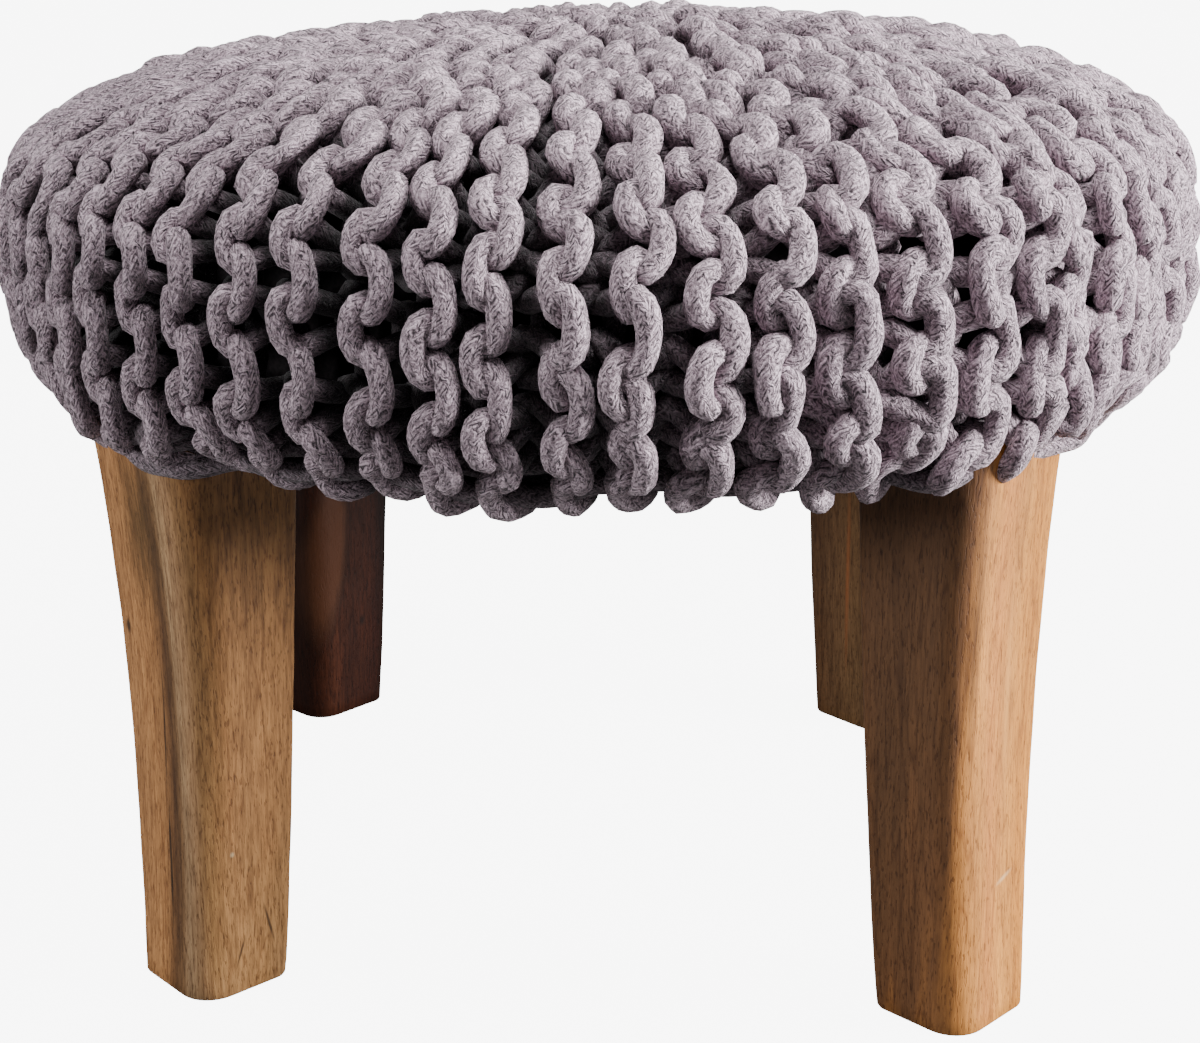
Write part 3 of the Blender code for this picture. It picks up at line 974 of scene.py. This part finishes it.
# across: tones by millimetres over the outer face, from one side face to the other.
# marks: soft-edged spots by place (outward, sideways, up), half sizes, tilt, colour and softness.
woods = {
    "leg_front_left": {
        "slot": "wood_brown", "seed": 1.37, "shine": 0.30, "contrast": 0.85,
        "across": ((-20, "#bd8a5b"), (-2, "#b68455"), (3.5, "#6b4b30"), (6.5, "#8f6c49"), (10.5, "#b3936f"),
                   (17, "#ae8862"), (21, "#9e774d"), (25, "#936a42")),
        "marks": (((0.018, 0.0012, 0.052), (0.020, 0.0010, 0.026), (0.03, 0, 0), "#140b06", 0.5),
                  ((0.018, 0.0006, 0.100), (0.020, 0.0007, 0.028), (-0.04, 0, 0), "#2a1a0f", 0.6),
                  ((-0.010, 0.0190, 0.026), (0.0008, 0.020, 0.011), (0, 0.25, 0), "#2f1d10", 0.6),
                  ((0.002, 0.0190, 0.018), (0.0007, 0.020, 0.007), (0, -0.30, 0), "#352214", 0.6),
                  ((0.0046, 0.0190, 0.058), (0.0011, 0.020, 0.0014), (0, 0, 0), "#b8a27e", 0.9),
                  ((0.015, -0.0190, 0.136), (0.006, 0.0020, 0.0035), (0, 0, 0), "#1d120a", 0.6),
                  # the broad dark mark high on the outer face, under the seat, is partly darker wood and
                  # partly painted shadow of the seat
                  ((0.022, -0.0030, 0.176), (0.022, 0.0150, 0.040), (0, 0, 0), "#4c3920", 0.9)),
    },
    "leg_front_right": {
        "slot": "wood_golden", "seed": 2.0, "shine": 0.30, "contrast": 0.60,
        "across": ((-24, "#69492f"), (-20, "#744f32"), (-17, "#b67b40"), (-12, "#bd803b"), (-4, "#b37435"),
                   (6, "#bc7f37"), (14, "#b07229"), (22, "#ba7b2e")),
        "marks": (((0.018, 0.0050, 0.055), (0.020, 0.0013, 0.0060), (-1.27, 0, 0), "#cba97e", 1.2),
                  ((0.018, 0.0030, 0.125), (0.020, 0.0024, 0.055), (0.02, 0, 0), "#c58842", 1.1),
                  # the dark strip high on the front corner, under the seat, is partly darker wood and
                  # partly painted shadow of the seat
                  ((0.018, -0.0165, 0.150), (0.020, 0.0036, 0.062), (0.01, 0, 0), "#4d3019", 0.9)),
    },
    "leg_back_left": {
        "slot": "wood_dark", "seed": 3.0, "shine": 0.12, "contrast": 0.9,
        "across": ((-22, "#0c0402"), (-14, "#200b05"), (0, "#291209"), (12, "#33180c"), (22, "#261008")),
        "marks": (((-0.018, 0.0130, 0.084), (0.020, 0.0138, 0.054), (0.10, 0, 0), "#130703", 0.35),
                  ((-0.018, 0.0138, 0.085), (0.020, 0.0118, 0.050), (0.10, 0, 0), "#3c2214", 0.35),
                  ((-0.018, -0.0060, 0.046), (0.020, 0.0024, 0.0040), (0, 0, 0), "#0f0604", 0.7)),
    },
    "leg_back_right": {
        "slot": "wood_dark", "seed": 4.0, "shine": 0.25, "contrast": 0.7,
        "across": ((-22, "#705439"), (-6, "#74573a"), (8, "#6d5036"), (16, "#66482f"), (22, "#573d28")),
        "marks": (((-0.018, -0.0020, 0.080), (0.020, 0.0016, 0.060), (0.02, 0, 0), "#9a5c34", 0.9),),
    },
}


def mangoWoodMaterial(name, row, wood):
    look = mangoWood
    footX, footY, facing = row[:3]
    seed = wood["seed"]
    material, tree, shader = newMaterial("mango_wood_waxed_" + name)
    place = addNode(tree, "TexCoord")
    local = addNode(tree, "Mapping", {"vector_type": "TEXTURE"},
                    {"Location": (footX, footY, 0.0), "Rotation": (0, 0, math.radians(facing))},
                    {"Vector": place.outputs["Object"]})
    onLeg = {"Vector": local}
    stretched = addNode(tree, "Mapping", values={
        "Location": (seed, seed * 2, 0), "Scale": (1.0, 1.0, look["along"])}, links=onLeg)
    inGrain = {"Vector": stretched}
    drift = addNode(tree, "TexNoise", values={"Scale": look["clouds"], "Detail": 3.0}, links=inGrain)
    streak = addNode(tree, "TexNoise", values={"Scale": look["fibres"], "Detail": 4.0,
                                               "Roughness": 0.75}, links=inGrain)
    # tone by the way across the leg, its borders wandering with the grain
    split = addNode(tree, "SeparateXYZ", links={0: local})
    wander = addNode(tree, "Math", {"operation": "MULTIPLY_ADD"}, {1: look["wander"]},
                     {0: drift, 2: split.outputs["Y"]})
    across = addNode(tree, "MapRange", values={"From Min": (look["wander"] - look["span"]) / 2,
                                               "From Max": (look["wander"] + look["span"]) / 2},
                     links={"Value": wander})
    body = addNode(tree, "ValToRGB", links={0: across}, stops=[
        (0.5 + millimetres / 1000 / look["span"], tone) for millimetres, tone in wood["across"]])
    cloud = addNode(tree, "ValToRGB", links={0: drift}, stops=look["cloudTones"])
    mottled = addNode(tree, "Mix", multiplied, {0: wood["contrast"]},
                      {6: body, 7: cloud})
    fibre = addNode(tree, "ValToRGB", links={0: streak}, stops=look["fibreTones"])
    grain = addNode(tree, "Mix", multiplied, {0: wood["contrast"]},
                    {6: mottled.outputs[2], 7: fibre})
    # growth lines
    lineNoise = addNode(tree, "TexNoise", values={"Scale": look["lines"], "Detail": 2.0},
                        links=inGrain)
    lineRings = addNode(tree, "Math", {"operation": "PINGPONG"}, {1: look["lineStep"]},
                        {0: lineNoise})
    lineMask = addNode(tree, "MapRange", values={
        "From Max": look["lineWidth"], "To Min": look["lineStrength"], "To Max": 0.0},
        links={"Value": lineRings})
    lined = addNode(tree, "Mix", multiplied, {7: look["lineTone"]},
                    {0: lineMask, 6: grain.outputs[2]})
    # pores, short dark dashes
    dashes = addNode(tree, "Mapping", values={
        "Location": (seed * 3, 0, 0), "Scale": (1.0, 1.0, look["poreAlong"])}, links=onLeg)
    pores = addNode(tree, "TexNoise", values={"Scale": look["pores"], "Detail": 1.0},
                    links={"Vector": dashes})
    poreMask = addNode(tree, "MapRange", values={
        "From Min": look["poreLevels"][0], "From Max": look["poreLevels"][1],
        "To Min": look["poreStrength"], "To Max": 0.0}, links={"Value": pores})
    colour = addNode(tree, "Mix", multiplied, {7: look["poreTone"]},
                     {0: poreMask, 6: lined.outputs[2]})
    for spot, halfSizes, tilt, tone, softness in wood["marks"]:
        centred = addNode(tree, "Mapping", {"vector_type": "TEXTURE"},
                          {"Location": spot, "Rotation": tilt, "Scale": halfSizes}, onLeg)
        away = addNode(tree, "VectorMath", {"operation": "LENGTH"}, links={0: centred})
        uneven = addNode(tree, "Math", {"operation": "MULTIPLY_ADD"}, {1: look["markFibre"]},
                         {0: streak, 2: away.outputs["Value"]})
        inside = addNode(tree, "MapRange", values={
            "From Min": look["markEdge"] - softness, "From Max": look["markEdge"],
            "To Min": look["markStrength"], "To Max": 0.0}, links={"Value": uneven})
        colour = addNode(tree, "Mix", {"data_type": "RGBA"}, {7: linearColour(tone)},
                         {0: inside, 6: colour.outputs[2]})
    height = addNode(tree, "Math", {"operation": "MULTIPLY_ADD"}, {1: -look["poreStrength"]},
                     {0: poreMask, 2: streak})
    bump = addNode(tree, "Bump", values={"Strength": look["reliefStrength"],
                                         "Distance": look["relief"]},
                   links={"Height": height})
    fillSockets(tree, shader, {
        "Roughness": look["roughness"], "Specular IOR Level": wood["shine"],
    }, {"Base Color": colour.outputs[2], "Normal": bump})
    return material


# Pale floor, soft light and the camera at the photograph's angle.
studio = {
    "cameraPlace": (0.0419, -0.8194, 0.3941),
    "cameraHeading": -0.0491,       # off +Y, towards +X
    "cameraTip": 0.3035,            # downwards
    "lens": 63.07,
    "sensor": 36.0,
    "nearest": 0.01,
    "keyPlace": (1.70, -0.34, 0.61),
    "keyPower": 111.0,
    "keySize": 0.60,
    "fillPlace": (-1.6, -0.85, 0.60),
    "fillPower": 23.0,
    "fillSize": 0.5,
    "topPlace": (0.25, -0.35, 1.6),
    "topPower": 25.0,
    "topSize": 0.7,
    "aim": (0.0, 0.0, 0.22),
    "worldStrength": 0.07,
    "backdropGlow": 9.0,            # what the camera itself sees of the backdrop
    "floorGlow": 8.0,
    "floorHalf": 6.0,
    "floorShade": (0.12, 0.12, 0.12, 1.0),
    "floorRoughness": 0.9,
}


def addAreaLight(name, place, power, size):
    light = bpy.data.lights.new(name, "AREA")
    light.energy = power
    light.shape = "DISK"
    light.size = size
    lamp = bpy.data.objects.new(name, light)
    lamp.location = place
    lamp.rotation_euler = (Vector(studio["aim"]) - Vector(place)).to_track_quat("-Z", "Y").to_euler()
    bpy.context.scene.collection.objects.link(lamp)


def buildStudio():
    camera = bpy.data.cameras.new("camera")
    camera.lens = studio["lens"]
    camera.sensor_width = studio["sensor"]
    camera.clip_start = studio["nearest"]
    holder = bpy.data.objects.new("camera", camera)
    holder.location = studio["cameraPlace"]
    holder.rotation_euler = (math.pi / 2 - studio["cameraTip"], 0.0, -studio["cameraHeading"])
    bpy.context.scene.collection.objects.link(holder)
    bpy.context.scene.camera = holder
    for name in ("key", "fill", "top"):
        addAreaLight(name, studio[name + "Place"], studio[name + "Power"], studio[name + "Size"])
    world = bpy.data.worlds.new("studio")
    bpy.context.scene.world = world
    world.use_nodes = True
    tree = world.node_tree
    strength = addNode(tree, "MapRange", values={
        "To Min": studio["worldStrength"], "To Max": studio["backdropGlow"]},
        links={"Value": addNode(tree, "LightPath").outputs["Is Camera Ray"]})
    fillSockets(tree, tree.nodes["Background"], {"Color": (1, 1, 1, 1)}, {"Strength": strength})
    builder = bmesh.new()
    bmesh.ops.create_grid(builder, x_segments=1, y_segments=1, size=studio["floorHalf"])
    material, tree, shader = newMaterial("painted_studio_floor")
    glow = addNode(tree, "Math", {"operation": "MULTIPLY"}, {1: studio["floorGlow"]},
                   {0: addNode(tree, "LightPath").outputs["Is Camera Ray"]})
    fillSockets(tree, shader, {
        "Base Color": studio["floorShade"], "Roughness": studio["floorRoughness"],
        "Emission Color": (1, 1, 1, 1),
    }, {"Emission Strength": glow})
    floor = addPiece("floor", finishedMesh(builder, "floor"), material)


buildStudio()
print("camera, light and floor done")

cordMaterial = cottonCordMaterial()
for piece in buildCover(cordMaterial):
    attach(piece, "root")
    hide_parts("knitted_seat")
print("cover done")

seatFilling = buildFilling(tickingMaterial())
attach(seatFilling, "root")
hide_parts("knitted_seat")
print("filling done")

for legName, legRow in legs.items():
    leg = buildLeg(legName, legRow, mangoWoodMaterial(legName, legRow, woods[legName]))
    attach(leg, "root")
    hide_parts(legName)
print("legs done")
